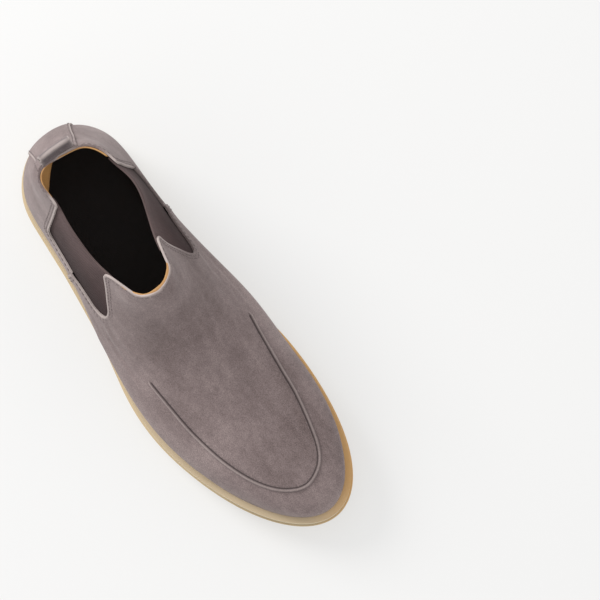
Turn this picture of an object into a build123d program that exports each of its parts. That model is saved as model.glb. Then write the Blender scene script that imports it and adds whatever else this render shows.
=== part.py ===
from build123d import *
import os
from math import cos, exp, pi, sin, sqrt, tan

# A right-foot men's chelsea boot, EU size 42, in suede on a moulded rubber sole.
#
# It is modelled as a bootmaker would take it apart: the moulded outsole with its gum
# tread pods, the midsole rand, the steel shank, cork filler and insole board, the
# footbed, the lining with its heel counter and toe puff, and the suede upper of vamp,
# two quarters, two elastic gores, back strap, corded apron seam and pull tab.
#
# Millimetres. While it is being built +X runs from the heel to the toe, +Y to the inner
# (medial) side of the foot and +Z up, with X = 0 at the back of the sole. The finished
# boot is moved so that its origin is the middle of its footprint, on the floor.

# ---------------------------------------------------------------- driving dimensions
SOLE_LENGTH = 300.0  # a size 42 sole
HEEL_X = 3.7  # rearmost point of the upper
TOE_X = 294.5  # foremost point of the upper
SUEDE = 1.6  # thickness of the upper's suede
STIFFENER = 0.8  # heel counter and toe puff
LINING = 1.8  # lining, and the elastic that takes its place in the gores
STRAP = 1.3  # back strap, which lies on the quarters
BOARD = 2.0  # insole board
FOOTBED = 4.6  # foam under the sock
SOCK = 1.0  # black leather sock on the footbed
RAND = 7.2  # height of the midsole's wall
RAND_STEP = 1.2  # how far the rand stands back from the outsole
GROOVE = 0.8  # groove between rand and outsole, all round
GROOVE_DEPTH = 2.8
EDGE_ROUND = 6.0  # rounding of the outsole's bottom edge
LASTING_MARGIN = 14.0  # suede turned in under the insole board
FIT_GAP = 0.3  # the footbed drops in, so it has this much room all round
SHANK = 1.2
POD_DIAMETER = 14.5
POD_PITCH = 28.0
POD_DEPTH = 2.4  # how deep a tread pod sits in the outsole
HEEL_PAD = (8.0, 80.0, 25.0)  # rear end, front end, half width
APRON_CORD = 2.4
TAB_WIDTH = 24.0
TAB_ROOT = (27.2, -2.2, 128.5)  # middle of the pull tab's fold line
TAB_ROOT_THICKNESS = 2.6
TAB_TIP_THICKNESS = 1.5

# Width and height of the boot along its length. Each table is (place, value) pairs that
# a smooth curve joins, with X as the place except where the name says Z.
SOLE_HALF_WIDTH = [(0, 37), (60, 37.2), (90, 38.5), (120, 41.2), (150, 46.5), (180, 51.3), (205, 52.5), (300, 52.5)]
SOLE_CENTRE_Y = [(0, 2), (30, 0.6), (60, -0.7), (110, -3.2), (160, -3.5), (195, -2), (225, 0.6), (255, 3.6), (300, 8.4)]
WELT_WIDTH = [(0, 3), (60, 2.5), (120, 2.6), (190, 4.2), (240, 5), (294, 6)]
RAND_TOP_Z = [(-20, 24), (0, 24), (30, 23.4), (75, 20.4), (110, 17.8), (150, 16.4), (185, 16.8), (215, 17.7),
              (245, 19.2), (272, 21.6), (300, 24.8), (320, 26)]
TREAD_Z = [(-20, 7), (0, 4.2), (12, 1.8), (84, 1.8), (104, 5.4), (130, 4.6), (165, 1.8), (232, 1.8),
           (262, 3.4), (285, 5.8), (300, 8), (320, 11)]
RIDGE_Z = [(60, 520), (98, 215), (110, 178), (119, 160), (127, 141), (132.5, 126), (141.5, 107), (154.7, 86.5),
           (175, 68.5), (196.6, 57), (214, 51.4), (232, 47.6), (251.8, 44.5), (268, 41.8), (280, 39), (288, 36),
           (293, 31.5), (294.5, 27)]
BACK_X_AT_Z = [(10, 5.2), (24, 5), (32, 4), (40, 3.7), (53, 5), (65, 7.8), (77, 11.5), (94.5, 18.5), (108.5, 23),
               (126, 29), (140, 33.5)]
ANKLE_NARROWING_AT_Z = [(40, 1), (56, 0.96), (75, 0.87), (90, 0.79), (110, 0.7), (125, 0.65), (140, 0.63)]
ANKLE_FORM_AT_Z = [(45, 0), (60, 0.1), (95, 0.75), (115, 1)]  # share of the next two that applies
COLLAR_LEAN = [(28, -2.4), (52, 2), (70, 3.2), (100, 1.4), (130, 2), (160, 1)]  # of the ankle's middle, inwards
COLLAR_WIDENING = [(36, 0), (52, 0.07), (70, 0.17), (85, 0.08), (100, -0.02), (116, -0.09), (130, -0.1)]
HEEL_CAP_AT_Z = [(60, 40), (90, 33), (125, 24)]  # length of the heel's rounding
SQUARENESS = [(150, 1.9), (170, 2.1), (208, 2.8), (231, 3.4), (255, 3.8), (294, 4)]  # of the cross-section
RIDGE_SKEW = [(100, 0), (135, 1), (165, 6), (220, 6), (270, 3), (294, 0)]  # ridge leans to the inner side
BULGE = [(0, 0.02), (80, 0.045), (120, 0.1), (150, 0.1), (178, 0.04), (210, 0.01), (294, 0.005)]
HEEL_CAP = 42.0  # length of the sole's rounding at the heel
TOE_CAP = 110.0  # and at the toe
LEVELS = [10, 16, 20, 24, 28, 32, 36, 39.5, 43, 47, 52, 58, 66, 76, 88, 102, 116, 131]
SOLE_LEVELS = [-3 + 1.8 * k for k in range(16)]
HALF_COUNT = 15  # points along one side of a contour

# Seams and cut edges in the side view, as (X, Z, corner radius) going round each piece.
QUARTER = [(-20, 5, 0), (77.4, 5, 0), (84, 55.8, 0), (55, 58.5, 8), (53.4, 124, 2.5), (28, 126.5, 0), (-20, 127.5, 0)]
VAMP = [(77.4, 5, 0), (84, 55.8, 0), (123, 56, 6), (99.5, 117, 8), (121, 119.8, 30), (134, 127.8, 0),
        (175, 145, 0), (320, 145, 0), (320, 5, 0)]
GORE = [(47, 120, 0), (48.5, 52, 5), (86, 48.5, 30), (132, 48.5, 6), (111, 115.5, 0), (101, 114, 0),
        (93, 112.5, 5), (77, 118.6, 14), (53, 120, 0)]
QUARTER_LINING = [(-20, 5, 0), (77.4, 5, 0), (84, 55.8, 0), (60, 100, 0), (47, 100, 0), (47, 124, 0),
                  (28, 125.9, 0), (-20, 127, 0)]
VAMP_LINING = [(77.4, 5, 0), (84, 55.8, 0), (103, 100, 0), (111, 117, 0), (121, 119.2, 30), (134, 127.2, 0),
               (175, 145, 0), (320, 145, 0), (320, 5, 0)]
COUNTER = [(-20, 5, 0), (74, 5, 0), (53, 42, 8), (28, 80, 8), (-20, 84, 0)]
PUFF = [(243, 5, 0), (248, 60, 0), (320, 60, 0), (320, 5, 0)]
STRAP_EDGES = [(-14.6, 126.4), (10.2, 126.4), (22.5, 10), (-13.5, 10)]  # back strap, as (Y, Z)
APRON = [(165, -36.5), (183, -35.5), (207, -33.5), (232, -28.5), (253, -20.4), (267.5, -9.8), (274.5, 3.5),
         (271, 15.5), (262, 23.6), (247, 28.6), (225, 33), (207, 34.6), (181, 37), (167, 38.8)]  # as (X, Y)
TAB_LINE = [(27.2, 128.5), (24.9, 132.2), (23.2, 137), (23, 142.7)]  # pull tab's middle, as (X, Z)


def smooth(table, at):
    """Value at a place on the smooth, overshoot-free curve through a table's pairs."""
    places = [p for p, _ in table]
    values = [v for _, v in table]
    if at <= places[0]:
        return float(values[0])
    if at >= places[-1]:
        return float(values[-1])
    steps = [b - a for a, b in zip(places, places[1:])]
    slopes = [(b - a) / s for a, b, s in zip(values, values[1:], steps)]
    tangents = [slopes[0]]
    for before, after in zip(slopes, slopes[1:]):
        tangents.append(2 * before * after / (before + after) if before * after > 0 else 0.0)
    tangents.append(slopes[-1])
    i = max(k for k, p in enumerate(places[:-1]) if p <= at)
    t = (at - places[i]) / steps[i]
    along = values[i] * (1 + 2 * t) * (1 - t) ** 2 + values[i + 1] * t * t * (3 - 2 * t)
    return along + steps[i] * (tangents[i] * t * (1 - t) ** 2 - tangents[i + 1] * t * t * (1 - t))


def cap(distance, length, power=2.0):
    """1 along a shape's middle, falling to 0 in a round end of this length."""
    if distance >= length:
        return 1.0
    return max(0.0, 1 - (1 - distance / length) ** power) ** (1 / power)


def rounded(corners):
    """Closed edges in the side view through (X, Z, radius) corners."""
    edges = []
    ends = []
    for before, here, after in zip(corners[-1:] + corners[:-1], corners, corners[1:] + corners[:1]):
        corner = Vector(here[0], 0, here[1])
        back = (Vector(before[0], 0, before[1]) - corner).normalized()
        on = (Vector(after[0], 0, after[1]) - corner).normalized()
        radius = here[2]
        if radius == 0:
            ends.append((corner, corner))
            continue
        half = back.get_angle(on) / 2 * pi / 180
        arc = [corner + back * (radius / tan(half)), corner + on * (radius / tan(half))]
        middle = corner + (back + on).normalized() * (radius / sin(half) - radius)
        edges.append(ThreePointArc(arc[0], middle, arc[1]))
        ends.append((arc[0], arc[1]))
    for (_, start), (end, _) in zip(ends, ends[1:] + ends[:1]):
        edges.append(Line(start, end))
    return edges


def across(edges, low_y=-90.0, high_y=90.0):
    """Everything inside closed side-view edges, between two Y values."""
    face = Face(Wire(edges))
    return Pos(0, low_y, 0) * extrude(face, amount=high_y - low_y, dir=(0, 1, 0))


def round_wire(points):
    """Closed smooth wire, evenly timed so that the lofts through such wires stay simple."""
    times = [k / len(points) for k in range(len(points) + 1)]
    return Wire([Edge.make_spline([Vector(*point) for point in points], periodic=True, parameters=times)])


# ---------------------------------------------------------------- sole shapes
def sole_contour(z, inset_at):
    """Closed outline of the sole at height z, drawn in by inset_at(x)."""
    low, high = inset_at(0), SOLE_LENGTH - inset_at(SOLE_LENGTH)
    around = []
    for k in range(2 * HALF_COUNT):
        side = 1 if k <= HALF_COUNT else -1
        place = SOLE_LENGTH * (1 - cos(pi * k / HALF_COUNT)) / 2
        half = smooth(SOLE_HALF_WIDTH, place) - inset_at(place)
        half *= cap(place, HEEL_CAP) * cap(SOLE_LENGTH - place, TOE_CAP)
        x = low + place * (high - low) / SOLE_LENGTH
        around.append((x, smooth(SOLE_CENTRE_Y, place) + side * half, z))
    return round_wire(around)


def sole_prism(inset, low_z=-5.0, high_z=40.0):
    """Upright prism on the sole's outline drawn in by inset."""
    face = Face(sole_contour(low_z, lambda x: inset))
    return extrude(face, amount=high_z - low_z, dir=(0, 0, 1))


def rounding(x, z):
    """How far the outsole's wall stands in at height z over its rounded bottom edge."""
    down = max(0.0, EDGE_ROUND - max(0.0, z - smooth(TREAD_Z, x)))
    return EDGE_ROUND - sqrt(EDGE_ROUND**2 - down**2)


def rounded_sole():
    """The outsole's side walls with their rounded bottom edge, cut to no profile yet."""
    return Solid.make_loft([sole_contour(z, lambda x: rounding(x, z)) for z in SOLE_LEVELS])


def long_curve(table, rise=0.0):
    """Curve in the side view's plane that follows a table along the whole sole."""
    places = [-20 + 340 * k / 24 for k in range(25)]
    return Spline([(x, 0, smooth(table, x) + rise) for x in places])


def slab(low_table, low_rise, high_table, high_rise):
    """Everything between two long curves, across the whole width."""
    low = long_curve(low_table, low_rise)
    high = long_curve(high_table, high_rise)
    return across([low, Line(low @ 1, high @ 1), high, Line(high @ 0, low @ 0)])


def above_rand(rise):
    """Everything above the rand's top plus rise."""
    low = long_curve(RAND_TOP_Z, rise)
    corners = [low @ 1, (320, 0, 200), (-20, 0, 200), low @ 0]
    return across([low] + [Line(a, b) for a, b in zip(corners, corners[1:])])


# ---------------------------------------------------------------- last shapes
def ridge_z(x, inset):
    """Height of the boot's ridge line, lowered square to its slope by inset."""
    slope = (smooth(RIDGE_Z, x + 0.5) - smooth(RIDGE_Z, x - 0.5)) if x < 280 else -0.6
    return smooth(RIDGE_Z, x) - inset * min(3.0, sqrt(1 + slope * slope))


def last_point(x, side, z, inset=0.0):
    """Y of the boot's outside at height z on one side, drawn in by inset."""
    base = smooth(RAND_TOP_Z, x)
    rise = min(1.0, max(0.0, (z - base) / (ridge_z(x, inset) - base)))
    power = smooth(SQUARENESS, x)
    arch = max(0.0, 1 - rise**power) ** (1 / power)
    fade = min(1.0, max(0.0, (110 - x) / 70))
    fade = fade * fade * (3 - 2 * fade)
    pushed = x - (smooth(BACK_X_AT_Z, z) - HEEL_X) * fade
    bulge = smooth(BULGE, x) * exp(-(((z - base - 18) / 15) ** 2))
    half = smooth(SOLE_HALF_WIDTH, pushed) - smooth(WELT_WIDTH, pushed)
    form = smooth(ANKLE_FORM_AT_Z, z)
    half *= 1 + form * smooth(COLLAR_WIDENING, x)
    half = half * (1 + bulge) * smooth(ANKLE_NARROWING_AT_Z, z) - inset
    half *= arch * cap(TOE_X - x, TOE_CAP - 4)
    half *= cap(pushed - HEEL_X, smooth(HEEL_CAP_AT_Z, z), 2.2)
    middle = smooth(SOLE_CENTRE_Y, x) + form * smooth(COLLAR_LEAN, x)
    return middle + 30 * bulge + smooth(RIDGE_SKEW, x) * rise + side * half


def contour(z, inset):
    """Closed contour of the boot at height z, drawn in by inset."""
    low, high = smooth(BACK_X_AT_Z, z), TOE_X
    if ridge_z(high, inset) < z:
        behind = 90.0
        while high - behind > 1e-6:
            half_way = (high + behind) / 2
            if ridge_z(half_way, inset) > z:
                behind = half_way
            else:
                high = half_way
        high = behind
    length = TOE_X - HEEL_X
    around = []
    for k in range(2 * HALF_COUNT):
        x = low + (high - low) * (1 - cos(pi * k / HALF_COUNT)) / 2
        y = last_point(x, 1 if k <= HALF_COUNT else -1, z, inset)
        around.append((HEEL_X + inset + (x - HEEL_X) * (length - 2 * inset) / length, y, z))
    return round_wire(around)


def last(inset=0.0):
    """Solid of the boot's whole inside space and walls, drawn in by inset."""
    return Solid.make_loft([contour(z, inset) for z in LEVELS])


def on_surface(x, y):
    """Point of the boot's outside straight above a place (X, Y)."""
    low, high = smooth(RAND_TOP_Z, x), smooth(RIDGE_Z, x)
    while high - low > 1e-6:
        z = (low + high) / 2
        if last_point(x, -1, z) < y < last_point(x, 1, z):
            low = z
        else:
            high = z
    return Vector(x, y, low)


# ---------------------------------------------------------------- sole parts
def pod_places():
    """Centres of the tread pods: staggered rows under the ball of the foot and the toes."""
    places = []
    for row in range(5):
        x = 160 + 0.88 * POD_PITCH * row
        middle = smooth(SOLE_CENTRE_Y, x)
        half = smooth(SOLE_HALF_WIDTH, x) * cap(SOLE_LENGTH - x, TOE_CAP)
        count = 3 if row % 2 == 0 else 4
        for k in range(count):
            y = (k - (count - 1) / 2) * POD_PITCH
            if abs(y) < half - POD_DIAMETER / 2 - 2:
                places.append((x, middle + y))
    return places


def tread_level(x):
    return smooth(TREAD_Z, x)


def make_tread_pods():
    """Gum pods, each a round-edged disc standing in its well."""
    pods = []
    for x, y in pod_places():
        height = tread_level(165) + POD_DEPTH
        pod = Cylinder(POD_DIAMETER / 2, height, align=(Align.CENTER, Align.CENTER, Align.MIN))
        pod = fillet(pod.edges().group_by(Axis.Z)[0], 1.3)
        pods.append(Pos(x, y, tread_level(x) - tread_level(165)) * pod)
    return Compound(pods)


def make_outsole():
    """Moulded outsole: rounded walls, heel pad with a groove round it, wells for the pods."""
    body = rounded_sole() & slab(TREAD_Z, 0, RAND_TOP_Z, -RAND - GROOVE)
    body += sole_prism(GROOVE_DEPTH) & slab(RAND_TOP_Z, -RAND - GROOVE - 1, RAND_TOP_Z, -RAND)
    rear, front, half = HEEL_PAD
    middle = Pos((rear + front) / 2, smooth(SOLE_CENTRE_Y, 40), 0)
    pad = extrude(Ellipse((front - rear) / 2, half), amount=5)
    moat = extrude(Ellipse((front - rear) / 2 + 2.5, half + 2.5), amount=2.8) - pad
    body = body - middle * moat + middle * pad
    wells = []
    for x, y in pod_places():
        well = Cylinder(POD_DIAMETER / 2 + 1.3, 8, align=(Align.CENTER, Align.CENTER, Align.MAX))
        wells.append(Pos(x, y, tread_level(x) + POD_DEPTH) * well)
    return body - wells


def make_rand():
    return sole_prism(RAND_STEP) & slab(RAND_TOP_Z, -RAND, RAND_TOP_Z, 0)


def shank_box():
    return Pos(112, -1.5, 20) * Box(104, 13, 40)


def make_filler():
    inset = LASTING_MARGIN + 5.5
    return (sole_prism(inset) & slab(RAND_TOP_Z, 0, RAND_TOP_Z, SUEDE)) - shank_box()


def make_shank():
    return slab(RAND_TOP_Z, SUEDE - SHANK, RAND_TOP_Z, SUEDE) & shank_box()


# ---------------------------------------------------------------- pull tab
def make_pull_tab():
    """Folded strap: round root on the fold line, leaning back and up, thinner at the tip."""
    middle = Spline([(x, 0, z) for x, z in TAB_LINE])
    front, rear = [], []
    for k in range(6):
        along = k / 5
        direction = middle % along
        square = Vector(direction.Z, 0, -direction.X)
        thick = TAB_ROOT_THICKNESS + (TAB_TIP_THICKNESS - TAB_ROOT_THICKNESS) * along
        front.append((middle @ along) + square * (thick / 2))
        rear.append((middle @ along) - square * (thick / 2))
    root = (middle @ 0) - (middle % 0) * (TAB_ROOT_THICKNESS / 2)
    tip = (middle @ 1) + (middle % 1) * (TAB_TIP_THICKNESS / 2)
    edges = [Spline(front), ThreePointArc(front[-1], tip, rear[-1]), Spline(rear), ThreePointArc(rear[0], root, front[0])]
    y = TAB_ROOT[1]
    return across(edges, y - TAB_WIDTH / 2, y + TAB_WIDTH / 2)


# ---------------------------------------------------------------- the whole boot
def make_boot():
    """Every sub-part under its node name."""
    outside = last() & above_rand(0)
    under_suede = last(SUEDE) & above_rand(SUEDE)
    inside = last(SUEDE + LINING)
    suede = outside - under_suede
    lasting_hole = sole_prism(LASTING_MARGIN + 5.2) & slab(RAND_TOP_Z, -1, RAND_TOP_Z, SUEDE)
    suede -= lasting_hole
    lining = under_suede - inside
    quarter = rounded(QUARTER)
    gore = rounded(GORE)
    gores = across(gore)
    quarter_lining = (lining & across(rounded(QUARTER_LINING))) - gores
    vamp_lining = (lining & across(rounded(VAMP_LINING))) - gores
    stiffened = under_suede - last(SUEDE + STIFFENER)
    heel_counter = stiffened & across(rounded(COUNTER))
    toe_puff = stiffened & across(rounded(PUFF))
    path = Spline([on_surface(x, y) + Vector(0, 0, 0.3) for x, y in APRON])
    ring = Plane(origin=path @ 0, z_dir=path % 0) * Circle(APRON_CORD / 2)
    cord = sweep(ring, path)
    strap_face = Face(Wire([Line((-20, *a), (-20, *b)) for a, b in zip(STRAP_EDGES, STRAP_EDGES[1:] + STRAP_EDGES[:1])]))
    strap_region = extrude(strap_face, amount=70, dir=(1, 0, 0)) & above_rand(0)
    inner = last(SUEDE + LINING + FIT_GAP)
    floor = SUEDE + BOARD
    return {
        "outsole": make_outsole(),
        "tread_pods": make_tread_pods(),
        "midsole_rand": make_rand(),
        "bottom_filler": make_filler(),
        "shank": make_shank(),
        "insole_board": inside & slab(RAND_TOP_Z, SUEDE, RAND_TOP_Z, floor),
        "footbed": inner & slab(RAND_TOP_Z, floor, RAND_TOP_Z, floor + FOOTBED),
        "footbed_sock": inner & slab(RAND_TOP_Z, floor + FOOTBED, RAND_TOP_Z, floor + FOOTBED + SOCK),
        "quarter_lateral": suede & across(quarter, -90, 0),
        "quarter_medial": suede & across(quarter, 0, 90),
        "vamp": (suede & across(rounded(VAMP))) - cord,
        "apron_cord": cord,
        "backstrap": (last(-STRAP) & strap_region) - outside,
        "gore_lateral": lining & across(gore, -90, -5),
        "gore_medial": lining & across(gore, -5, 90),
        "quarter_lining": quarter_lining - heel_counter,
        "vamp_lining": vamp_lining - toe_puff,
        "heel_counter": heel_counter,
        "toe_puff": toe_puff,
        "pull_tab": make_pull_tab(),
    }


if __name__ == "__main__":
    os.makedirs("parts", exist_ok=True)
    nodes = make_boot()
    box = Compound([part for part in nodes.values()]).bounding_box()
    to_frame = Pos(-box.center().X, -box.center().Y, -box.min.Z)
    for name, part in nodes.items():
        export_step(to_frame * part, f"parts/{name}.step")
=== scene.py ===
from math import atan2, cos, exp, pi, radians, sin

import bmesh
import bpy
from mathutils import Matrix, Vector
from mathutils.bvhtree import BVHTree
from mathutils.kdtree import KDTree


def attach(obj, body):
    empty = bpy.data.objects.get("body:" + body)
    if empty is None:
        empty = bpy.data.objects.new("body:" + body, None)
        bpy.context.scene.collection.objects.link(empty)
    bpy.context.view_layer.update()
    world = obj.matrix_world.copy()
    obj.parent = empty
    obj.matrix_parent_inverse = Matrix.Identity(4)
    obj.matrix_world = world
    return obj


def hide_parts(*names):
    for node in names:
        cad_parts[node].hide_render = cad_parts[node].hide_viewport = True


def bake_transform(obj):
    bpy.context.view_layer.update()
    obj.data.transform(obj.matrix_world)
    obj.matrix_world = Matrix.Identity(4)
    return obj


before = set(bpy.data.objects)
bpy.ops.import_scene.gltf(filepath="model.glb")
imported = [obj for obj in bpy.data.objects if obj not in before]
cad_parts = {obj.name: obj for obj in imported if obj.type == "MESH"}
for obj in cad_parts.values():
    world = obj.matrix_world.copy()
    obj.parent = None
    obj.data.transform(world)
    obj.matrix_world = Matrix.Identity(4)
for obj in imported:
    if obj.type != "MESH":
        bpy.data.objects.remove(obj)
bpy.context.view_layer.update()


# ---------------------------------------------------------------- outsole
# The moulded rubber unit that touches the ground, cream all through. It comes out of the
# mould with a fine matt skin, and with a heel pad and wells for the gum pods underneath.
def finish_material(name):
    """A new node material and the Principled shader in it."""
    material = bpy.data.materials.new(name)
    material.use_nodes = True
    return material, material.node_tree.nodes["Principled BSDF"]


def noise_node(tree, scale, detail=4.0, roughness=0.55, stretch=(1, 1, 1)):
    """Noise over the piece itself, at so many lumps a metre, a number or a socket."""
    nodes, links = tree.nodes, tree.links
    place = nodes.new("ShaderNodeTexCoord")
    mapping = nodes.new("ShaderNodeMapping")
    mapping.inputs["Scale"].default_value = stretch
    noise = nodes.new("ShaderNodeTexNoise")
    noise.inputs["Detail"].default_value = detail
    noise.inputs["Roughness"].default_value = roughness
    if isinstance(scale, bpy.types.NodeSocket):
        links.new(scale, noise.inputs["Scale"])
    else:
        noise.inputs["Scale"].default_value = scale
    links.new(place.outputs["Object"], mapping.inputs["Vector"])
    links.new(mapping.outputs["Vector"], noise.inputs["Vector"])
    return noise.outputs["Fac"]


def range_node(tree, source, low, high, top=1.0):
    """A value spread from 0 to top between two limits, each a number or a socket."""
    spread = tree.nodes.new("ShaderNodeMapRange")
    spread.inputs["To Max"].default_value = top
    for socket, value in (("Value", source), ("From Min", low), ("From Max", high)):
        if isinstance(value, bpy.types.NodeSocket):
            tree.links.new(value, spread.inputs[socket])
        else:
            spread.inputs[socket].default_value = value
    return spread.outputs["Result"]


def mix_node(tree, factor, below, above, blend="MIX"):
    """Two colours mixed by a value, each a colour, a number or a socket."""
    mix = tree.nodes.new("ShaderNodeMix")
    mix.data_type = "RGBA"
    mix.blend_type = blend
    for name, value in (("Factor", factor), ("A", below), ("B", above)):
        if isinstance(value, bpy.types.NodeSocket):
            tree.links.new(value, mix.inputs[name])
        elif isinstance(value, tuple):
            mix.inputs[name].default_value = (*value, 1)
        else:
            mix.inputs[name].default_value = value
    return mix.outputs["Result"]


def bump_chain(tree, *layers):
    """Bumps one on another, each (height socket, distance in metres, strength)."""
    before = None
    for height, distance, strength in layers:
        bump = tree.nodes.new("ShaderNodeBump")
        bump.inputs["Distance"].default_value = distance
        bump.inputs["Strength"].default_value = strength
        tree.links.new(height, bump.inputs["Height"])
        if before:
            tree.links.new(before, bump.inputs["Normal"])
        before = bump.outputs["Normal"]
    return before


def shared_effect(name, takes, gives):
    """An empty node group for an effect that several finishes share, and its two ends."""
    group = bpy.data.node_groups.new(name, "ShaderNodeTree")
    for socket, kind in takes:
        group.interface.new_socket(name=socket, in_out="INPUT", socket_type=kind)
    for socket, kind in gives:
        group.interface.new_socket(name=socket, in_out="OUTPUT", socket_type=kind)
    return group, group.nodes.new("NodeGroupInput").outputs, group.nodes.new("NodeGroupOutput").inputs


def lay_effect(material, group, values):
    """Places a shared effect in a finish, with this finish's own values."""
    effect = material.node_tree.nodes.new("ShaderNodeGroup")
    effect.node_tree = group
    for name, value in values.items():
        if isinstance(value, bpy.types.NodeSocket):
            material.node_tree.links.new(value, effect.inputs[name])
        else:
            effect.inputs[name].default_value = (*value, 1) if isinstance(value, tuple) else value
    return effect.outputs


COLOUR, VALUE, VECTOR = "NodeSocketColor", "NodeSocketFloat", "NodeSocketVector"

# Faint cloudiness and the mould's fine texture, on everything moulded or pressed.
moulded_skin, given, made = shared_effect(
    "moulded_skin",
    [("Light", COLOUR), ("Dark", COLOUR), ("Grain", VALUE)],
    [("Color", COLOUR), ("Normal", VECTOR)],
)
cloud = noise_node(moulded_skin, 28, 5, 0.6)
fine = noise_node(moulded_skin, given["Grain"], 3, 0.6)
tone = mix_node(moulded_skin, range_node(moulded_skin, cloud, 0.3, 0.7), given["Dark"], given["Light"])
moulded_skin.links.new(tone, made["Color"])
moulded_skin.links.new(bump_chain(moulded_skin, (cloud, 0.0005, 0.2), (fine, 0.00012, 0.6)), made["Normal"])

# Old cement gone amber where the rubber faces up; painted light pales it toward the outer side and painted
# shade deepens it toward the inner side.
amber_stain_and_shade, given, made = shared_effect(
    "amber_stain_and_shade",
    [("Rubber", COLOUR), ("Amber", COLOUR), ("Lit Side", COLOUR), ("Sloping", VALUE), ("Level", VALUE)],
    [("Color", COLOUR)],
)
facing = amber_stain_and_shade.nodes.new("ShaderNodeTexCoord")
upward = amber_stain_and_shade.nodes.new("ShaderNodeSeparateXYZ")
amber_stain_and_shade.links.new(facing.outputs["Normal"], upward.inputs["Vector"])
sideways = amber_stain_and_shade.nodes.new("ShaderNodeSeparateXYZ")
amber_stain_and_shade.links.new(facing.outputs["Object"], sideways.inputs["Vector"])
share = range_node(amber_stain_and_shade, upward.outputs["Z"], given["Sloping"], given["Level"], 0.9)
# Painted light and shade: paler toward the outer, lit side, deeper amber toward the inner, shaded side.
shaded_inner_side = range_node(amber_stain_and_shade, sideways.outputs["Y"], -0.005, 0.032)
stain_and_shade = mix_node(amber_stain_and_shade, shaded_inner_side, given["Lit Side"], given["Amber"])
amber_stain_and_shade.links.new(mix_node(amber_stain_and_shade, share, given["Rubber"], stain_and_shade), made["Color"])


def rubber(name, light, dark, roughness, grain=2600.0, stain_and_shade=None):
    """Matt moulded rubber, or board pressed like it, amber on top where it is stained, with painted light
    and shade along its sides.
    """
    material, shader = finish_material(name)
    links = material.node_tree.links
    skin = lay_effect(material, moulded_skin, {"Light": light, "Dark": dark, "Grain": grain})
    colour = skin["Color"]
    if stain_and_shade:
        colour = lay_effect(material, amber_stain_and_shade, {"Rubber": colour, **stain_and_shade})["Color"]
    links.new(colour, shader.inputs["Base Color"])
    links.new(skin["Normal"], shader.inputs["Normal"])
    shader.inputs["Roughness"].default_value = roughness
    return material


def dress(node, material, edge=0.0004):
    """A CAD piece that keeps its shape: soft moulded edges and its own finish."""
    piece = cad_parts[node]
    piece.data.materials.clear()
    piece.data.materials.append(material)
    for face in piece.data.polygons:
        face.use_smooth = True
    weld = piece.modifiers.new("weld", "WELD")
    weld.merge_threshold = 0.00001
    if edge:
        bevel = piece.modifiers.new("edges", "BEVEL")
        bevel.width = edge
        bevel.segments = 2
        bevel.limit_method = "ANGLE"
        bevel.angle_limit = radians(40)
    normals = piece.modifiers.new("normals", "WEIGHTED_NORMAL")
    normals.keep_sharp = False
    return piece


# The outsole's amber is painted paler on the outer side and deeper on the inner side, as painted light and
# shade.
edge_stain_and_shade = {"Amber": (0.66, 0.38, 0.14), "Lit Side": (0.52, 0.41, 0.26), "Sloping": 0.25, "Level": 0.75}
dress("outsole", rubber("cream_rubber", (0.66, 0.53, 0.34), (0.58, 0.46, 0.29), 0.62, stain_and_shade=edge_stain_and_shade))

# ---------------------------------------------------------------- tread pods
# Round gum-rubber pods pressed into the outsole's wells under the ball of the foot.
gum = rubber("gum_pods", (0.42, 0.19, 0.045), (0.33, 0.14, 0.03), 0.42)
dress("tread_pods", gum, 0.0)

# ---------------------------------------------------------------- midsole rand
# The paler strip between outsole and upper, its wall finely textured. The narrow ledge on
# top, where the upper's cement was rolled on, has gone amber.
# The ledge's amber is painted paler on the outer side and deeper on the inner side, as painted light and
# shade.
ledge_stain_and_shade = {"Amber": (0.60, 0.34, 0.12), "Lit Side": (0.50, 0.39, 0.25), "Sloping": 0.35, "Level": 0.8}
pale = rubber("pale_rubber", (0.62, 0.54, 0.38), (0.56, 0.48, 0.33), 0.7, 1800.0, ledge_stain_and_shade)
dress("midsole_rand", pale, 0.0005)

# ---------------------------------------------------------------- hidden bottom parts
# Shank, cork filler, insole board, heel counter and toe puff, all closed in when the
# boot was lasted.
for node, name, light, dark, roughness in (
    ("bottom_filler", "cork", (0.40, 0.24, 0.11), (0.25, 0.13, 0.05), 0.9),
    ("insole_board", "fibreboard", (0.45, 0.35, 0.22), (0.38, 0.28, 0.17), 0.85),
    ("heel_counter", "stiffener", (0.58, 0.53, 0.44), (0.5, 0.45, 0.37), 0.8),
    ("toe_puff", "puff", (0.58, 0.53, 0.44), (0.5, 0.45, 0.37), 0.8),
):
    dress(node, rubber(name, light, dark, roughness, 900.0), 0.0)
steel = rubber("shank_steel", (0.55, 0.55, 0.56), (0.48, 0.48, 0.5), 0.35)
steel.node_tree.nodes["Principled BSDF"].inputs["Metallic"].default_value = 1.0
dress("shank", steel, 0.0)

# ---------------------------------------------------------------- vamp
# The front of the upper, one piece of taupe suede cut to run from side seam to side seam
# round the toe, up over the instep and into the tab between the two gores.
MM = 0.001


def cad_skin(node, inward=False):
    """One face of a CAD leather layer, cut free of its edges: outer, or inner if inward."""
    skin = bmesh.new()
    skin.from_mesh(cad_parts[node].data)
    bmesh.ops.remove_doubles(skin, verts=skin.verts, dist=0.00001)
    skin.normal_update()
    best, seed = 0, None
    for face in skin.faces:
        place = face.calc_center_median()
        heart = Vector((min(max(place.x, -0.105), 0.1), 0, place.z if place.x < -0.03 else 0.03))
        facing = (place - heart).normalized().dot(face.normal) * (-1 if inward else 1)
        if facing > 0.6 and face.calc_area() > best:
            best, seed = face.calc_area(), face
    kept, edge_of_growth = {seed}, [seed]
    while edge_of_growth:
        face = edge_of_growth.pop()
        for edge in face.edges:
            if len(edge.link_faces) == 2 and edge.calc_face_angle() < radians(42):
                for other in edge.link_faces:
                    if other not in kept:
                        kept.add(other)
                        edge_of_growth.append(other)
    bmesh.ops.delete(skin, geom=[f for f in skin.faces if f not in kept], context="FACES")
    return skin


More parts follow.
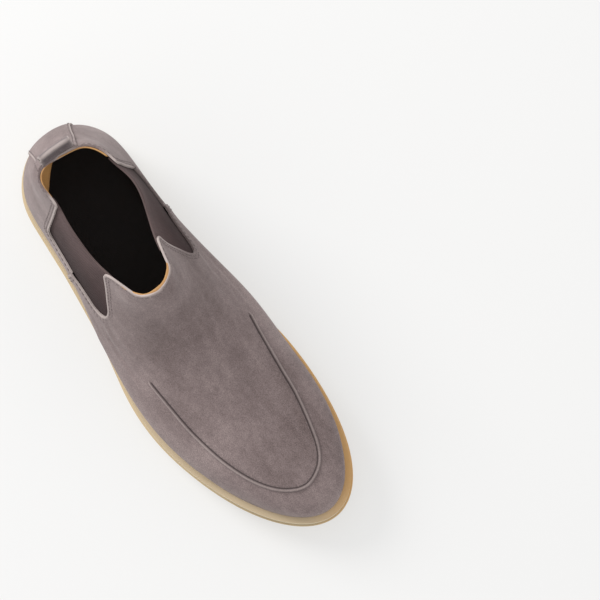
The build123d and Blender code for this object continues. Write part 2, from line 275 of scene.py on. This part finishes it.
def cut_edge(skin, corners):
    """The skin's outline as four point lists between its corners, in the corners' order."""
    left = {e for e in skin.edges if e.is_boundary}
    longest = []
    while left:
        first = left.pop()
        loop = [first.verts[0], first.verts[1]]
        while True:
            ahead = [e for e in loop[-1].link_edges if e in left]
            if not ahead:
                break
            left.discard(ahead[0])
            loop.append(ahead[0].other_vert(loop[-1]))
        if sum((a.co - b.co).length for a, b in zip(loop, loop[1:])) > sum(
            (a - b).length for a, b in zip(longest, longest[1:])
        ):
            longest = [v.co.copy() for v in loop[:-1]]
    at = [min(range(len(longest)), key=lambda i: (longest[i] - Vector(c) * MM).length) for c in corners]
    if (at[1] - at[0]) % len(longest) > (at[2] - at[0]) % len(longest):
        longest.reverse()
        at = [len(longest) - 1 - i for i in at]
    sides = []
    for start, end in zip(at, at[1:] + at[:1]):
        count = (end - start) % len(longest)
        sides.append([longest[(start + k) % len(longest)] for k in range(count + 1)])
    return sides


def spaced(points, count):
    """The same line through count + 1 evenly spaced points."""
    lengths = [0.0]
    for a, b in zip(points, points[1:]):
        lengths.append(lengths[-1] + (b - a).length)
    out, k = [], 0
    for step in range(count + 1):
        goal = lengths[-1] * step / count
        while k < len(points) - 2 and lengths[k + 1] < goal:
            k += 1
        share = (goal - lengths[k]) / max(1e-12, lengths[k + 1] - lengths[k])
        out.append(points[k].lerp(points[k + 1], min(1.0, share)))
    return out


def nearness(point, place, reach):
    """1 at a place in millimetres, falling away smoothly to 0 past its reach."""
    return exp(-(((point - Vector(place) * MM).length / (reach * MM)) ** 2))


def rounded_off(line, places, passes=240):
    """The line with its corners rounded, as scissors cut them: (x, y, z, reach, how much)."""
    line = [p.copy() for p in line]
    for turn in range(passes):
        moved = [p.copy() for p in line]
        for i in range(1, len(line) - 1):
            share = max(0.5 * amount * nearness(line[i], place, reach) for *place, reach, amount in places)
            moved[i] = line[i].lerp((line[i - 1] + line[i + 1]) / 2, share)
        line = moved
    return line


def as_piece(shape, name):
    """The finished shape as a smooth object in the scene."""
    mesh = bpy.data.meshes.new(name)
    shape.to_mesh(mesh)
    shape.free()
    piece = bpy.data.objects.new(name, mesh)
    bpy.context.scene.collection.objects.link(piece)
    for face in mesh.polygons:
        face.use_smooth = True
    return piece


def cut_panel(name, node, corners, columns, rows, inward=False, relax=14, soft=(), deeper=()):
    """A leather panel as a clean net of quads lying on a CAD layer's skin, or on a skin already
    cut. Its corners go foot end first: bottom left, bottom right, top right, top left."""
    skin = cad_skin(node, inward) if isinstance(node, str) else node
    tree = BVHTree.FromBMesh(skin)
    sides = cut_edge(skin, corners)
    skin.free()
    bottom, right = spaced(sides[0], columns), spaced(sides[1], rows)
    top, left = spaced(sides[2], columns)[::-1], spaced(sides[3], rows)[::-1]
    for *place, reach, dx, dy in deeper:
        for point in top:
            share = nearness(point, place, reach)
            point += Vector((dx, dy, 0)) * MM * share
            point += (tree.find_nearest(point)[0] - point) * min(1.0, share * 3)
    if soft:
        top = rounded_off(top, soft)
    panel = bmesh.new()
    bmesh.ops.create_grid(panel, x_segments=columns, y_segments=rows, size=0.5)
    fixed = {}
    for vert in panel.verts:
        u, v = vert.co.x + 0.5, vert.co.y + 0.5
        i, j = round(u * columns), round(v * rows)
        vert.co = bottom[i] * (1 - v) + top[i] * v + left[j] * (1 - u) + right[j] * u
        vert.co -= (bottom[0] * (1 - u) + bottom[-1] * u) * (1 - v) + (top[0] * (1 - u) + top[-1] * u) * v
        if vert.is_boundary:
            across = {0: bottom, rows: top}.get(j)
            fixed[vert] = (across[i] if across else (left if i == 0 else right)[j]).copy()
    inner = [v for v in panel.verts if v not in fixed]
    for turn in range(relax + 1):
        if turn:
            bmesh.ops.smooth_vert(
                panel, verts=inner, factor=0.5, use_axis_x=True, use_axis_y=True, use_axis_z=True
            )
        for vert in inner:
            vert.co = tree.find_nearest(vert.co)[0]
    for vert, place in fixed.items():
        vert.co = place
    bmesh.ops.recalc_face_normals(panel, faces=panel.faces)
    panel.normal_update()
    middle = max(panel.faces, key=lambda face: face.calc_area())
    hit = tree.find_nearest(middle.calc_center_median())
    if middle.normal.dot(hit[1]) < 0:
        bmesh.ops.reverse_faces(panel, faces=panel.faces)
    return as_piece(panel, name), {"bottom": bottom, "right": right, "top": top, "left": left}


def near_lines(lines, count):
    """The lines as evenly spaced points, for finding how far off them a place is."""
    points = [point for line in lines for point in spaced(line, count)]
    near = KDTree(len(points))
    for i, point in enumerate(points):
        near.insert(point, i)
    near.balance()
    return near


def mark_edges(piece, lines, reach=0.0011):
    """Marks how near each point is to a raw edge, for the leather's colour there."""
    near = near_lines(lines, 400)
    mark = piece.data.attributes.new("raw_edge_and_highlight", "FLOAT", "POINT")
    for vert in piece.data.vertices:
        mark.data[vert.index].value = exp(-((near.find(vert.co)[2] / reach) ** 2))


def lift(piece, line, height, reach):
    """Raises a panel off the one below it along a lapped edge."""
    near = near_lines([line], 200)
    normals = [v.normal.copy() for v in piece.data.vertices]
    for vert in piece.data.vertices:
        far = near.find(vert.co)[2]
        vert.co += normals[vert.index] * height * exp(-((far / reach) ** 2))


def give_thickness(piece, thickness, edge=0.0004, smooth=0):
    """Leather has a thickness, inwards from the panel, and slightly rounded cut edges."""
    solid = piece.modifiers.new("thickness", "SOLIDIFY")
    solid.thickness = thickness
    solid.offset = -1
    if edge:
        bevel = piece.modifiers.new("edges", "BEVEL")
        bevel.width = edge
        bevel.segments = 2
        bevel.limit_method = "ANGLE"
        bevel.angle_limit = radians(55)
    if smooth:
        finer = piece.modifiers.new("finer", "SUBSURF")
        finer.levels = smooth
        finer.render_levels = smooth


def ramp_node(tree, source, stops):
    """Colours along a value, as (place, colour) stops."""
    ramp = tree.nodes.new("ShaderNodeValToRGB")
    elements = ramp.color_ramp.elements
    while len(elements) < len(stops):
        elements.new(0.5)
    for element, (place, colour) in zip(elements, stops):
        element.position = place
        element.color = (*colour, 1)
    tree.links.new(source, ramp.inputs["Fac"])
    return ramp.outputs["Color"]


def value_node(tree, kind, a, b=0.0, clamp=False):
    """One sum on values, each a number or a socket."""
    sum_node = tree.nodes.new("ShaderNodeMath")
    sum_node.operation = kind
    sum_node.use_clamp = clamp
    for socket, value in zip(sum_node.inputs, (a, b)):
        if isinstance(value, bpy.types.NodeSocket):
            tree.links.new(value, socket)
        else:
            socket.default_value = value
    return sum_node.outputs["Value"]


def marked(tree, name, amount):
    """How strongly a mark on the piece's points shows, from 0 to 1."""
    mark = tree.nodes.new("ShaderNodeAttribute")
    mark.attribute_name = name
    return value_node(tree, "MULTIPLY", mark.outputs["Fac"], amount, clamp=True)


# Taupe suede: brushed patches of nap lying this way and that, a fine grain of fibres, paler
# raw cut edges, a painted highlight on the apron ridge's crown and painted shade in the creases.
suede_nap, given, made = shared_effect(
    "suede_nap", [("Tint", COLOUR), ("Raw Edge and Highlight", COLOUR)], [("Color", COLOUR), ("Normal", VECTOR)]
)
patches = noise_node(suede_nap, 17, 3, 0.55, (0.7, 1.25, 1))
brushed = noise_node(suede_nap, 60, 4, 0.62, (0.45, 1.6, 0.9))
mottle = noise_node(suede_nap, 230, 3, 0.6)
fibres = noise_node(suede_nap, 1500, 3, 0.7)
tone = value_node(suede_nap, "MULTIPLY", patches, 0.5)
tone = value_node(suede_nap, "ADD", tone, value_node(suede_nap, "MULTIPLY", brushed, 0.3))
tone = value_node(suede_nap, "ADD", tone, value_node(suede_nap, "MULTIPLY", mottle, 0.2))
SHADES = [(0.34, (0.122, 0.091, 0.088)), (0.5, (0.185, 0.143, 0.140)), (0.66, (0.262, 0.208, 0.201))]
SPECKS = [(0.34, (0.68, 0.68, 0.68)), (0.66, (1.3, 1.29, 1.28))]
colour = mix_node(suede_nap, 1.0, ramp_node(suede_nap, tone, SHADES), given["Tint"], "MULTIPLY")
colour = mix_node(suede_nap, 1.0, colour, ramp_node(suede_nap, fibres, SPECKS), "MULTIPLY")
# Paler colour at raw cut edges, and a painted highlight where the apron fold's crown is marked.
colour = mix_node(suede_nap, marked(suede_nap, "raw_edge_and_highlight", 0.7), colour, given["Raw Edge and Highlight"])
# Painted shade: the marked creases are coloured nearly black.
colour = mix_node(suede_nap, marked(suede_nap, "crease_shade", 0.95), colour, (0.03, 0.022, 0.022))
suede_nap.links.new(colour, made["Color"])
nap_height = bump_chain(suede_nap, (patches, 0.0012, 0.25), (mottle, 0.0006, 0.35), (fibres, 0.0003, 0.55))
suede_nap.links.new(nap_height, made["Normal"])


def suede_finish(name, tint):
    """A suede finish, its colour turned by a tint."""
    material, shader = finish_material(name)
    nap = lay_effect(material, suede_nap, {"Tint": tint, "Raw Edge and Highlight": (0.46, 0.395, 0.37)})
    material.node_tree.links.new(nap["Color"], shader.inputs["Base Color"])
    material.node_tree.links.new(nap["Normal"], shader.inputs["Normal"])
    shader.inputs["Roughness"].default_value = 0.96
    shader.inputs["Specular IOR Level"].default_value = 0.18
    shader.inputs["Sheen Weight"].default_value = 0.16
    shader.inputs["Sheen Roughness"].default_value = 0.55
    shader.inputs["Sheen Tint"].default_value = (0.93, 0.88, 0.86, 1)
    return material


suede = suede_finish("taupe_suede", (1, 1, 1))


def between(value, start, full):
    """0 at the start and before it, 1 where it is full and past it."""
    return min(1.0, max(0.0, (value - start) / (full - start)))


def ease_instep(piece):
    """The inner side's leather and elastic stand out a little beside the ankle."""
    for vert in piece.data.vertices:
        if vert.co.y > 0:
            along = between(vert.co.x, -0.115, -0.07) * between(vert.co.x, 0.02, -0.025)
            vert.co.y += 0.003 * along * exp(-(((vert.co.z - 0.064) / 0.018) ** 2))


# The throat's curve at the top of the tab, cut alike in the suede and in its lining.
THROAT_ROUNDED = [
    (-26, -13, 121, 6, 0.15), (-26, 15, 121, 6, 0.15), (-17, 2, 126, 8, 0.3), (-22, 12, 123, 6, 0.3)
]
THROAT_DEEPER = (-19, 6, 125, 11, 2.4, 0.4)
vamp, vamp_sides = cut_panel(
    "vamp_panel",
    "vamp",
    [(-72, -36, 20), (-72, 38, 20), (-66, 37, 55.8), (-66, -36, 55.8)],
    230,
    90,
    soft=[(-25, -31, 60, 13, 1), (-25, 32, 60, 13, 1), *THROAT_ROUNDED],
    deeper=[(-30, -31, 66, 11, 4.5, 1), (-30, 32, 66, 11, 4, -1), THROAT_DEEPER],
)
ease_instep(vamp)
for vert in vamp.data.vertices:
    along = between(vert.co.x, -0.06, -0.025) * between(vert.co.x, 0.115, 0.075)
    rise = between(vert.co.z, 0.0175, 0.0265)
    if vert.co.y < 0:
        vert.co.y -= 0.0025 * along * rise * exp(-(((vert.co.z - 0.029) / 0.012) ** 2))
lift(vamp, vamp_sides["left"], 0.0008, 0.007)
lift(vamp, vamp_sides["right"], 0.0008, 0.007)
mark_edges(vamp, [vamp_sides["top"], vamp_sides["left"], vamp_sides["right"]])
vamp.data.materials.append(suede)
give_thickness(vamp, 0.0013)
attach(vamp, "boot")
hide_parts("vamp")

# ---------------------------------------------------------------- quarters
# The two sides of the heel, in the same suede. They meet at the back under the strap, and
# are cut low in front where the elastic shows.
HEEL_MIDDLE = Vector((-0.098, 0.0032, 0))


def eased(share):
    """A share from 0 to 1 that starts and ends gently."""
    return share * share * (3 - 2 * share)


def square_collar(piece, share=1.0):
    """Eases the collar out at the back corners, where the strap holds it flat."""
    for vert in piece.data.vertices:
        along, across, _ = (vert.co - HEEL_MIDDLE) / 0.024
        rise = between(vert.co.z, 0.08, 0.118)
        if rise and along < 0:
            power = 5 if across < 0 else 3.3
            squared = (abs(along) ** power + abs(across) ** power) ** (1 / power)
            push = ((along**2 + across**2) ** 0.5 / squared - 1) * eased(rise) * share
            vert.co.x += (vert.co.x - HEEL_MIDDLE.x) * push
            vert.co.y += (vert.co.y - HEEL_MIDDLE.y) * push


quarters = []
for node, side in (("quarter_lateral", -1), ("quarter_medial", 1)):
    corners = [(-72, side * 37, 20), (-145, 1.8, 24), (-121, 1.8, 126.4), (-66, side * 36, 55.8)]
    quarter, sides = cut_panel(node + "_panel", node, corners, 110, 90)
    square_collar(quarter)
    ease_instep(quarter)
    mark_edges(quarter, [sides["top"]])
    quarter.data.materials.append(suede)
    give_thickness(quarter, 0.0013)
    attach(quarter, "boot")
    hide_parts(node)
    quarters.append((quarter, sides))

# ---------------------------------------------------------------- back strap
# A long suede strap laid over the heel seam, wider at the foot, stitched down both edges.
corners = [(-146, -11.7, 24), (-146, 22, 24), (-121, 12, 126.4), (-121, -12.8, 126.4)]
strap, strap_sides = cut_panel("backstrap_panel", "backstrap", corners, 24, 90)
square_collar(strap)
mark_edges(strap, [strap_sides["left"], strap_sides["right"], strap_sides["top"]], 0.0009)
strap.data.materials.append(suede)
give_thickness(strap, 0.0012, 0.0003)
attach(strap, "boot")
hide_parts("backstrap")

# ---------------------------------------------------------------- gores
# The two panels of dark brown boot elastic, woven with fine upright ribs, that let the
# opening stretch. A woven selvedge finishes the top edge.
elastic, elastic_shader = finish_material("elastic_web")
web_nodes = elastic.node_tree
place = web_nodes.nodes.new("ShaderNodeTexCoord")
weave = web_nodes.nodes.new("ShaderNodeTexWave")
weave.wave_type = "BANDS"
weave.bands_direction = "X"
weave.inputs["Scale"].default_value = 360
weave.inputs["Distortion"].default_value = 0.35
weave.inputs["Detail"].default_value = 1.0
web_nodes.links.new(place.outputs["Object"], weave.inputs["Vector"])
lint = noise_node(web_nodes, 1300, 3, 0.7)
cloudy = noise_node(web_nodes, 45, 4, 0.6)
height = web_nodes.nodes.new("ShaderNodeSeparateXYZ")
web_nodes.links.new(place.outputs["Object"], height.inputs["Vector"])
eighths = value_node(web_nodes, "MULTIPLY", height.outputs["Z"], 8.0)
DYE = [(0.35, (0.052, 0.033, 0.0325)), (0.65, (0.074, 0.048, 0.047))]
RIBS = [(0.15, (0.8, 0.8, 0.8)), (0.75, (1.12, 1.12, 1.12))]
# Painted light and shade: the elastic is coloured lighter toward its top, where it leans in to the light,
# and darker lower down.
PAINTED_LIGHT_UPWARD = [(0.5, (0.4, 0.33, 0.33)), (0.88, (1.28, 1.24, 1.24))]
web = ramp_node(web_nodes, cloudy, DYE)
web = mix_node(web_nodes, 1.0, web, ramp_node(web_nodes, weave.outputs["Fac"], RIBS), "MULTIPLY")
web = mix_node(web_nodes, 1.0, web, ramp_node(web_nodes, eighths, PAINTED_LIGHT_UPWARD), "MULTIPLY")
web = mix_node(web_nodes, marked(web_nodes, "raw_edge_and_highlight", 0.6), web, (0.12, 0.09, 0.086))
web_nodes.links.new(web, elastic_shader.inputs["Base Color"])
web_bumps = bump_chain(web_nodes, (weave.outputs["Fac"], 0.0003, 0.5), (lint, 0.0002, 0.4))
web_nodes.links.new(web_bumps, elastic_shader.inputs["Normal"])
elastic_shader.inputs["Roughness"].default_value = 0.85
elastic_shader.inputs["Specular IOR Level"].default_value = 0.12
elastic_shader.inputs["Sheen Weight"].default_value = 0.05
elastic_shader.inputs["Sheen Roughness"].default_value = 0.5
elastic_shader.inputs["Sheen Tint"].default_value = (0.85, 0.75, 0.74, 1)

for node, y_low, y_high in (("gore_lateral", -35, -19), ("gore_medial", 35, 24)):
    corners = [(-101.5, y_low, 52), (-20.2, y_low, 48.5), (-39, y_high, 115.5), (-103, y_high, 120)]
    soft = [(-57, y_high, 112.5, 12, 0.4), (-49, y_high, 114, 12, 0.4), (-73, y_high, 118.6, 10, 0.4)]
    gore, sides = cut_panel(node + "_web", node, corners, 80, 56, soft=soft)
    square_collar(gore)
    ease_instep(gore)
    mark_edges(gore, [sides["top"]], 0.0007)
    gore.data.materials.append(elastic)
    give_thickness(gore, 0.0013, 0.0003)
    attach(gore, "boot")
    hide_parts(node)

# ---------------------------------------------------------------- linings
# Smooth tan leather inside the heel and inside the forepart, pared thin at the opening.
hide, hide_shader = finish_material("tan_lining")
hide_nodes = hide.node_tree
clouds = noise_node(hide_nodes, 30, 4, 0.55)
pores = noise_node(hide_nodes, 1700, 2, 0.6)
tan = ramp_node(hide_nodes, clouds, [(0.3, (0.38, 0.195, 0.066)), (0.7, (0.48, 0.262, 0.095))])
hide_nodes.links.new(tan, hide_shader.inputs["Base Color"])
hide_bumps = bump_chain(hide_nodes, (clouds, 0.0006, 0.2), (pores, 0.0001, 0.4))
hide_nodes.links.new(hide_bumps, hide_shader.inputs["Normal"])
hide_shader.inputs["Roughness"].default_value = 0.55


def slacken(lining):
    """The lining hangs a little slack behind the outer side, so it shows below the edge."""
    for vert in lining.data.vertices:
        turn = atan2(HEEL_MIDDLE.y - vert.co.y, HEEL_MIDDLE.x - vert.co.x)
        beside = max(0.0, 1 - abs(turn - 0.72) / 0.62)
        below = max(0.0, 1 - abs(vert.co.z - 0.1085) / 0.0165)
        inward = Vector((HEEL_MIDDLE.x - vert.co.x, HEEL_MIDDLE.y - vert.co.y, 0)).normalized()
        vert.co += inward * 0.0085 * eased(beside) * eased(below)


corners = [(-72.6, -35, 20), (-72.6, 37, 20), (-66, 36, 55.8), (-66, -34, 55.8)]
for node, columns, soft, deeper in (
    ("quarter_lining", 190, (), ()),
    ("vamp_lining", 170, THROAT_ROUNDED, [THROAT_DEEPER]),
):
    lining, sides = cut_panel(node + "_panel", node, corners, columns, 70, True, 14, soft, deeper)
    square_collar(lining, 1.18)
    slacken(lining)
    ease_instep(lining)
    lining.data.materials.append(hide)
    lift(lining, [p for p in sides["top"] if p.z > 0.08], -0.0016, 0.0055)
    give_thickness(lining, 0.0009, 0.0)
    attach(lining, "boot")
    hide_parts(node)

# ---------------------------------------------------------------- footbed
# A foam cushion under a black leather cover, die-cut to the foot and laid in over the
# insole board. The cover turns down softly all round.
sock = rubber("black_cover", (0.0125, 0.0075, 0.0075), (0.008, 0.005, 0.005), 0.7, 1300.0)
skin = bmesh.new()
skin.from_mesh(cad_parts["footbed_sock"].data)
bmesh.ops.remove_doubles(skin, verts=skin.verts, dist=0.00001)
skin.normal_update()
bmesh.ops.delete(skin, geom=[f for f in skin.faces if f.normal.z < 0.5], context="FACES")
corners = [(-125, -22, 30), (100, -30, 30), (100, 34, 30), (-125, 22, 30)]
footbed, footbed_sides = cut_panel("footbed_cover", skin, corners, 96, 36)
rim = near_lines(footbed_sides.values(), 99)
for vert in footbed.data.vertices:
    far = rim.find(vert.co)[2]
    vert.co.z -= 0.0016 * exp(-((far / 0.004) ** 2))
    vert.co.z += 0.0002 * sin(vert.co.x * 70) * cos(vert.co.y * 90)
footbed.data.materials.append(sock)
give_thickness(footbed, 0.005, 0.0012, smooth=1)
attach(footbed, "boot")
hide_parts("footbed_sock", "footbed")

# ---------------------------------------------------------------- apron seam
# The vamp is pinched up over a cord and sewn through, which leaves a raised line round the
# toe with a sharp crease along its inner side. It dies away at both ends.
APRON = [
    (15, -34.7), (33, -33.7), (57, -31.7), (82, -26.7), (103, -18.6), (117.5, -8), (124.5, 5.3),
    (121, 17.3), (112, 25.4), (97, 30.4), (75, 34.8), (57, 36.4), (31, 38.8), (17, 40.6),
]
FOLD = [
    (-2.2, -0.3), (-1.5, 0.04), (-1.2, 0.1), (-1.05, 0.6), (-0.6, 1.1), (0, 1.25), (0.5, 1.1), (0.85, 0.6),
    (0.98, 0.06), (1.4, 0.05), (2.0, -0.3),
]


def curve_through(points, count):
    """A smooth line through points, as evenly spaced places."""
    full = [points[0] * 2 - points[1]] + points + [points[-1] * 2 - points[-2]]
    fine = []
    for a, b, c, d in zip(full, full[1:], full[2:], full[3:]):
        for k in range(24):
            t = k / 24
            bend = (2 * a - 5 * b + 4 * c - d) * t * t + (3 * b - a - 3 * c + d) * t**3
            fine.append(0.5 * (2 * b + (c - a) * t + bend))
    return spaced(fine + [points[-1]], count)


def surface_of(piece):
    """The piece's faces, for finding places on them."""
    shape = bmesh.new()
    shape.from_mesh(piece.data)
    tree = BVHTree.FromBMesh(shape)
    shape.free()
    return tree


vamp_surface = surface_of(vamp)
apron_line = []
for point in curve_through([Vector((x, y, 0)) * MM for x, y in APRON], 340):
    hit, facing, _, _ = vamp_surface.ray_cast(Vector((point.x, point.y, 0.09)), Vector((0, 0, -1)))
    apron_line.append((hit, facing))
fold = bmesh.new()
bmesh.ops.create_grid(fold, x_segments=len(apron_line) - 1, y_segments=len(FOLD) - 1, size=0.5)
crease_shade = fold.verts.layers.float.new("crease_shade")
crown_highlight = fold.verts.layers.float.new("raw_edge_and_highlight")
for vert in fold.verts:
    i = round((vert.co.x + 0.5) * (len(apron_line) - 1))
    k = round((vert.co.y + 0.5) * (len(FOLD) - 1))
    here, facing = apron_line[i]
    ahead = apron_line[min(i + 1, len(apron_line) - 1)][0] - apron_line[max(i - 1, 0)][0]
    inner = facing.cross(ahead).normalized()
    ends = min(1.0, min(i, len(apron_line) - 1 - i) / 4)
    across, height = FOLD[k]
    place = here + inner * across * MM
    hit, facing, _, _ = vamp_surface.find_nearest(place)
    vert.co = hit + facing * (height * ends - 0.12 * (1 - ends)) * MM
    # Painted shade along the fold's inner crease, and fainter along its outer edge.
    inner_crease_shade = exp(-(((across - 1.15) / 0.5) ** 2))
    outer_crease_shade = 0.45 * exp(-(((across + 1.3) / 0.25) ** 2))
    vert[crease_shade] = (inner_crease_shade + outer_crease_shade) * ends
    # A painted highlight: the fold's crown takes the pale raw-edge colour.
    vert[crown_highlight] = 0.42 * exp(-((across / 0.7) ** 2)) * ends
bmesh.ops.recalc_face_normals(fold, faces=fold.faces)
fold.faces.ensure_lookup_table()
if fold.faces[len(fold.faces) // 2].normal.z < 0:
    bmesh.ops.reverse_faces(fold, faces=fold.faces)
apron = as_piece(fold, "apron_fold")
apron.data.materials.append(suede)
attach(apron, "boot")
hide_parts("apron_cord")

# ---------------------------------------------------------------- pull tab
# A suede strap folded in two, the fold at the top, its two ends sewn in at the head of the
# back strap. Its faces carry painted shade, darker than the other suede and its cut edges.
TAB_WIDTH = 0.0232
TAB_MIDDLE = -0.0004
TAB_LINE = [(-122.6, 125.2), (-123.4, 128.5), (-124.9, 131.8), (-124.9, 136.6), (-123.9, 142.2)]
tab_middle = curve_through([Vector((x * MM, 0, z * MM)) for x, z in TAB_LINE], 22)
loop = []
for side in (1, -1):
    layer = []
    for i, point in enumerate(tab_middle):
        ahead = tab_middle[min(i + 1, 22)] - tab_middle[max(i - 1, 0)]
        outward = Vector((ahead.z, 0, -ahead.x)).normalized()
        share = i / 22
        layer.append(point + outward * side * (0.0008 + 0.00012 * sin(share * pi) - 0.0002 * share))
    loop += layer if side == 1 else layer[::-1]
tip = tab_middle[-1] + (tab_middle[-1] - tab_middle[-2]).normalized() * 0.0007
loop.insert(len(tab_middle), tip)
loop = spaced(loop, 64)
tab_mesh = bmesh.new()
bmesh.ops.create_grid(tab_mesh, x_segments=64, y_segments=18, size=0.5)
for vert in tab_mesh.verts:
    i, across = round((vert.co.x + 0.5) * 64), vert.co.y
    point = loop[i]
    rise = (point.z - 0.127) / 0.0155
    cupped, drooped = 0.0007 * (2 * across) ** 2 * rise, 0.0006 * (2 * across) ** 4 * rise
    aside = TAB_MIDDLE + across * TAB_WIDTH * (1 - 0.05 * rise)
    vert.co = Vector((point.x + cupped, aside, point.z - drooped))
tab = as_piece(tab_mesh, "pull_tab_strap")
mark = tab.data.attributes.new("raw_edge_and_highlight", "FLOAT", "POINT")
for vert in tab.data.vertices:
    side = exp(-(((0.0114 - abs(vert.co.y - TAB_MIDDLE)) / 0.0010) ** 2))
    mark.data[vert.index].value = max(side, exp(-(((0.1430 - vert.co.z) / 0.0009) ** 2)))
# Painted shade: the tab's suede is tinted darker and greyer than the rest.
tab.data.materials.append(suede_finish("tab_suede_shaded", (0.60, 0.62, 0.66)))
give_thickness(tab, 0.0009, 0.00025)
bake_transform(tab)
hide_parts("pull_tab")

# ---------------------------------------------------------------- stitching
# Rows of lockstitch in matching thread: double beside the elastic and the side seams,
# single along the throat, the collar and the strap.
thread, thread_shader = finish_material("thread")
strands = noise_node(thread.node_tree, 900, 2, 0.5)
twist = ramp_node(thread.node_tree, strands, [(0.3, (0.12, 0.095, 0.092)), (0.7, (0.2, 0.16, 0.155))])
thread.node_tree.links.new(twist, thread_shader.inputs["Base Color"])
thread_shader.inputs["Roughness"].default_value = 0.7


def inside_of(piece, line, inset, borders=None):
    """Places and facings along a line on a piece, this far in from all its cut edges."""
    surface = surface_of(piece)
    near = near_lines(borders or [line], 400)
    length = sum((b - a).length for a, b in zip(line, line[1:]))
    dense = spaced(line, max(20, round(length / 0.0007)))
    out = []
    for i, point in enumerate(dense):
        ahead = (dense[min(i + 2, len(dense) - 1)] - dense[max(i - 2, 0)]).normalized()
        facing = surface.find_nearest(point)[1]
        sideways = facing.cross(ahead).normalized()
        tries = [surface.find_nearest(point + sideways * inset * s) for s in (1, -1)]
        best = max(tries, key=lambda hit: near.find(hit[0])[2])
        if near.find(best[0])[2] > inset * 0.93:
            out.append((best[0], best[1]))
    return out


def sew(name, rows, pitch=0.0029, length=0.0023, width=0.00034):
    """Thread stitches along rows of places and facings, on the boot."""
    cloth = bmesh.new()
    for row in rows:
        step, last = 0.0, row[0][0]
        for (before, _), (here, facing), (after, _) in zip(row, row[1:], row[2:]):
            step += (here - last).length
            last = here
            if step < pitch or (after - before).length > pitch:
                continue
            step = 0.0
            along = (after - before).normalized()
            aside = facing.cross(along).normalized()
            turn = Matrix((along, aside, facing)).transposed().to_4x4()
            size = Matrix.Diagonal((length / 2, width, width, 1))
            laid = Matrix.Translation(here + facing * width * 0.35) @ turn @ size
            stitch = bmesh.ops.create_uvsphere(cloth, u_segments=6, v_segments=4, radius=1)
            on_its_side = Matrix.Rotation(pi / 2, 4, "Y")
            bmesh.ops.transform(cloth, matrix=laid @ on_its_side, verts=stitch["verts"])
    piece = as_piece(cloth, name)
    piece.data.materials.append(thread)
    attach(piece, "boot")


top = vamp_sides["top"]
half = len(top) // 2


def nearest_on_edge(places, corner):
    """Which of these places along the vamp's top edge lies nearest a corner."""
    return min(places, key=lambda i: (top[i] - Vector(corner) * MM).length)


window_a = top[: nearest_on_edge(range(half), (-50, -20, 117)) + 1]
window_b = top[nearest_on_edge(range(half, len(top)), (-50, 23, 117)) :]
rows = [inside_of(vamp, top, 0.002)]
for line in (window_a, window_b):
    rows.append(inside_of(vamp, line, 0.0042, [top, vamp_sides["left"], vamp_sides["right"]]))
for key in ("left", "right"):
    rows.append(inside_of(vamp, vamp_sides[key], 0.002, [vamp_sides[key], top]))
    rows.append(inside_of(vamp, vamp_sides[key], 0.0042, [vamp_sides[key], top]))
sew("vamp_stitching", rows)
rows = []
for quarter, sides in quarters:
    edge = sides["top"]
    turn = max(range(len(edge)), key=lambda i: -abs(edge[i].x + 0.0966) - 3 * abs(edge[i].z - 0.124))
    parts = sorted((edge[: turn + 1], edge[turn:]), key=lambda part: sum(p.z for p in part) / len(part))
    rows += [inside_of(quarter, parts[0], 0.002, [edge]), inside_of(quarter, parts[0], 0.0042, [edge])]
    rows.append([hit for hit in inside_of(quarter, parts[1], 0.002, [edge]) if abs(hit[0].y) > 0.0135])
sew("quarter_stitching", rows)
rows = [inside_of(strap, strap_sides[key], 0.0015) for key in ("left", "right")]
sew("strap_stitching", rows, 0.0026, 0.0019)
apron_row = []
for i in range(16, len(apron_line) - 16):
    here, facing = apron_line[i]
    inner = facing.cross(apron_line[i + 1][0] - apron_line[i - 1][0]).normalized()
    hit = vamp_surface.find_nearest(here + inner * 0.0019)
    apron_row.append((hit[0], hit[1]))
sew("apron_stitching", [apron_row], 0.0022, 0.0016, 0.0002)

# ---------------------------------------------------------------- floor, lights and camera
# A pale sweep of paper, soft light from overhead, and the boot seen almost from above.
bpy.ops.mesh.primitive_plane_add(size=8)
floor = bpy.context.object
floor.name = "floor"
floor.location.z = -0.0002
paper, paper_shader = finish_material("paper")
paper_shader.inputs["Base Color"].default_value = (0.3, 0.297, 0.29, 1)
paper_shader.inputs["Roughness"].default_value = 1.0
paper_shader.inputs["Specular IOR Level"].default_value = 0.0
paper_shader.inputs["Emission Color"].default_value = (0.992, 0.995, 1, 1)
paper_shader.inputs["Emission Strength"].default_value = 0.53
floor.data.materials.append(paper)

world = bpy.data.worlds.new("studio")
bpy.context.scene.world = world
world.use_nodes = True
world.node_tree.nodes["Background"].inputs["Color"].default_value = (1, 1, 1, 1)
world.node_tree.nodes["Background"].inputs["Strength"].default_value = 0.98

# One large soft lamp from the heel end, on the outer side.
lamp = bpy.data.lights.new("window", "AREA")
lamp.shape = "DISK"
lamp.size = 0.9
lamp.energy = 25
light = bpy.data.objects.new("window", lamp)
bpy.context.scene.collection.objects.link(light)
light.location = (-1.4, -0.42, 1.1)
light.rotation_euler = (-light.location).to_track_quat("-Z", "Y").to_euler()

# The camera looks almost straight down, with the toe toward the lower right.
LEAN = radians(5.5)
TURN = radians(54)
DISTANCE = 3.0
WIDTH_SEEN = 0.3748
RIGHT = Vector((cos(TURN), sin(TURN), 0))
DOWN = Vector((sin(TURN), -cos(TURN), 0))
MIDDLE = Vector((0.0275, 0.0723, 0.020))
back = Vector((0, 0, 1)) * cos(LEAN) + DOWN * sin(LEAN)
up = -DOWN * cos(LEAN) + Vector((0, 0, 1)) * sin(LEAN)
camera = bpy.data.objects.new("camera", bpy.data.cameras.new("camera"))
bpy.context.scene.collection.objects.link(camera)
turned = Matrix((RIGHT, up, back)).transposed().to_4x4()
camera.matrix_world = Matrix.Translation(MIDDLE + back * DISTANCE) @ turned
camera.data.sensor_width = 36
camera.data.lens = 36 * DISTANCE / WIDTH_SEEN
bpy.context.scene.camera = camera
bpy.context.scene.view_settings.view_transform = "Standard"
